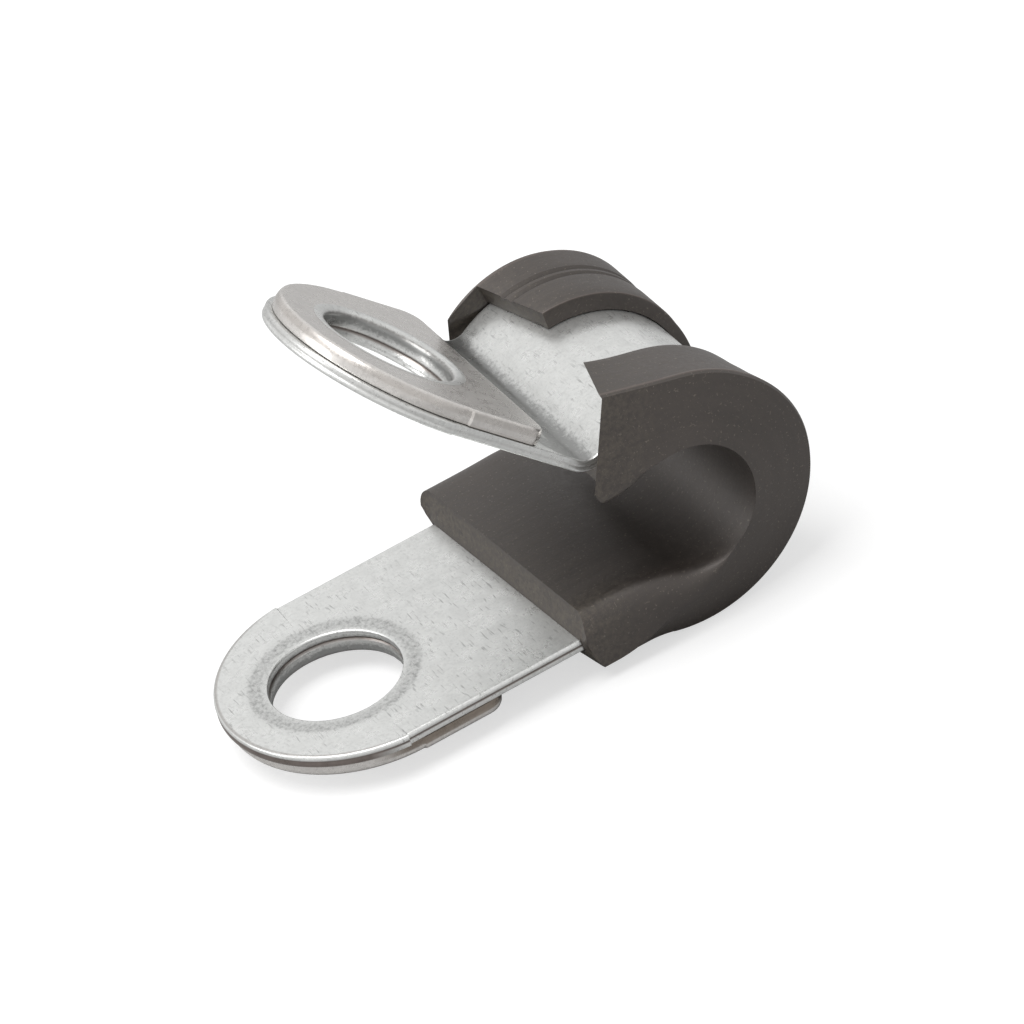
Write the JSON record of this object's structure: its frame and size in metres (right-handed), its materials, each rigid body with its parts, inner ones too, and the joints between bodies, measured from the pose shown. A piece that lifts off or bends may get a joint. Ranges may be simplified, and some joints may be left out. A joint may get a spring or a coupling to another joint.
{
  "type": "p clip",
  "caption": "Rubber lined steel P clip, sprung open: a band bent round a cable, with reinforced bolt tabs and a grooved rubber liner.",
  "frame": {"origin": "on the lower bolt hole's axis, at the back face of the lower reinforcing plate, which is bolted down", "axes": "+X from the lower bolt hole towards the loop, +Z out of the bolted face towards the upper tab, Y across the band"},
  "size_m": [0.0287, 0.0154, 0.0213],
  "materials": {
    "band_steel": "bright zinc plated strip, satin with fine scratches",
    "plate_steel": "bright zinc plated, smoother than the band",
    "liner_rubber": "matt brownish black rubber, a little dusty"
  },
  "bodies": {
    "root": {"band": "band_steel", "lower_reinforcing_plate": "plate_steel", "upper_reinforcing_plate": "plate_steel", "liner": "liner_rubber"}
  },
  "joints": []
}
